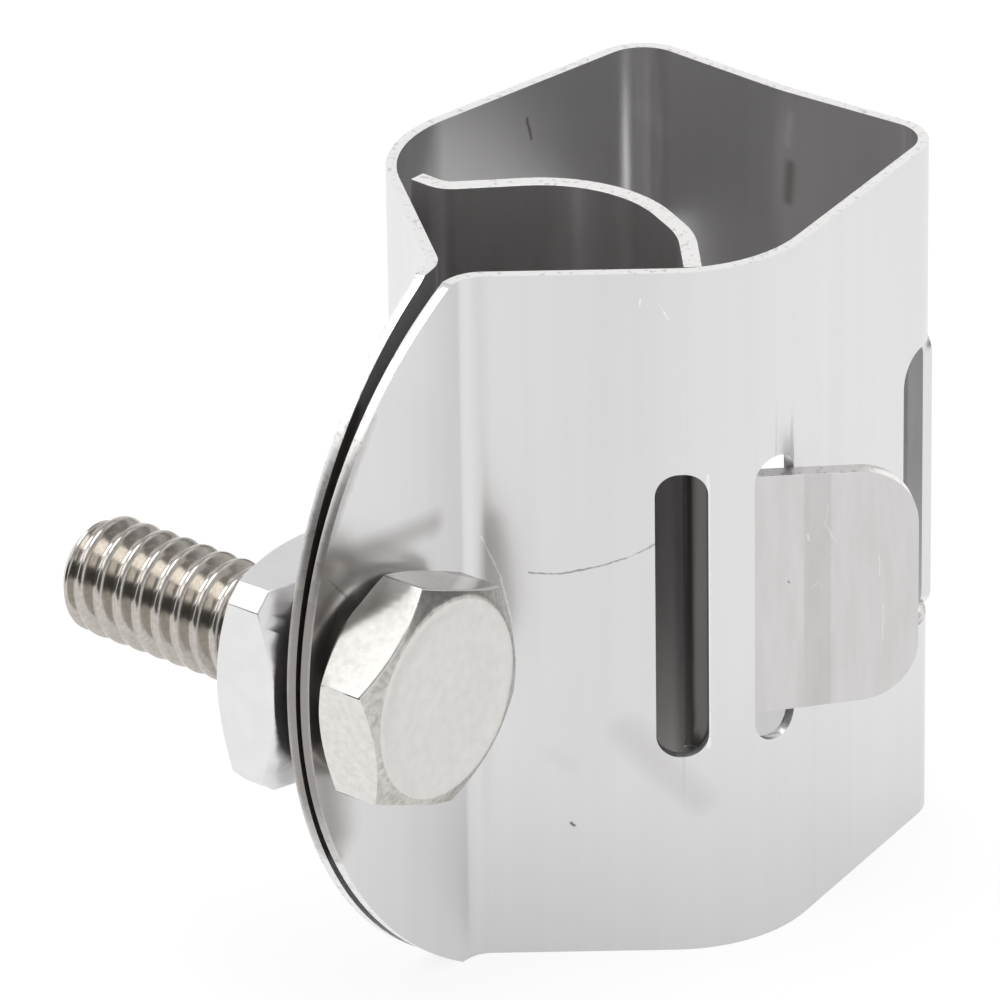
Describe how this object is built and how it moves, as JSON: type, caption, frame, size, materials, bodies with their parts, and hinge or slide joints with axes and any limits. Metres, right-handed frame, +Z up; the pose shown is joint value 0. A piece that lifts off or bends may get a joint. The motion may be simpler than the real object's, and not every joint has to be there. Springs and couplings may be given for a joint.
{
  "type": "butterfly cable clip",
  "caption": "Folded stainless strap clip with a curved inner saddle on two outward tongues, closed round a cable by a hexagon bolt and square nut through its ears.",
  "frame": {"origin": "on the plane of the bottom rim, on the axis of the cable that the clip holds, midway between the saddle's crest and the back wall", "axes": "+Z up along the cable, +X along the bolt's axis towards its head, +Y from the ears towards the flat back wall"},
  "size_m": [0.0342, 0.041, 0.0381],
  "materials": {
    "strap_sheet": "smooth rolled stainless sheet with bright sheared edges",
    "saddle_sheet": "smooth rolled stainless sheet with bright sheared edges",
    "bolt_steel": "cold headed stainless with a rolled thread",
    "nut_steel": "smooth stainless with bright bevelled corners"
  },
  "bodies": {
    "clip": {"clip_strap": "strap_sheet", "cable_saddle": "saddle_sheet"},
    "bolt": {"hex_bolt": "bolt_steel"},
    "nut": {"square_nut": "nut_steel"}
  },
  "joints": [
    {"name": "bolt_turn", "type": "hinge", "parent": "clip", "child": "bolt", "pos_m": [0, -0.027, 0.01905], "axis": [1, 0, 0], "range_deg": [0, 3240]},
    {"name": "nut_travel", "type": "slide", "parent": "clip", "child": "nut", "axis": [-1, 0, 0], "range_m": [0, 0.01144]}
  ],
  "couplings": [
    {"joint": "nut_travel", "follows": "bolt_turn", "m_per_rad": 0.00020213}
  ]
}
